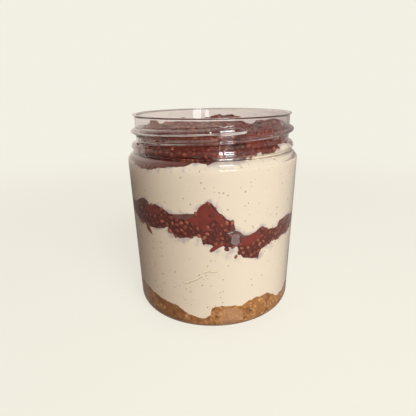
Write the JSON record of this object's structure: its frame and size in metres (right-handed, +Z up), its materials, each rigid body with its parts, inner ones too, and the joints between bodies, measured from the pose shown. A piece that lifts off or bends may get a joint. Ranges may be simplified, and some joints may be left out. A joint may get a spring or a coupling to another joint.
{
  "type": "cheesecake trifle cup",
  "caption": "Clear wide screw-neck jar without lid, layered with crushed biscuit, cream, seedy berry compote, cream and a heap of compote on top.",
  "frame": {"origin": "centre of the jar's resting ring, on the surface it stands on", "axes": "+Z up along the jar's axis; -Y is the side shown in the picture; +X is that side's right"},
  "size_m": [0.074, 0.074, 0.0871],
  "materials": {
    "clear_plastic": "clear polished",
    "biscuit": "pressed biscuit crumb",
    "cream": "smooth set cream with fine specks",
    "compote": "wet seedy berry jelly"
  },
  "bodies": {
    "root": {"jar": "clear_plastic", "biscuit_base": "biscuit", "cream_lower": "cream", "berry_layer": "compote", "cream_upper": "cream", "berry_topping": "compote"}
  },
  "joints": []
}
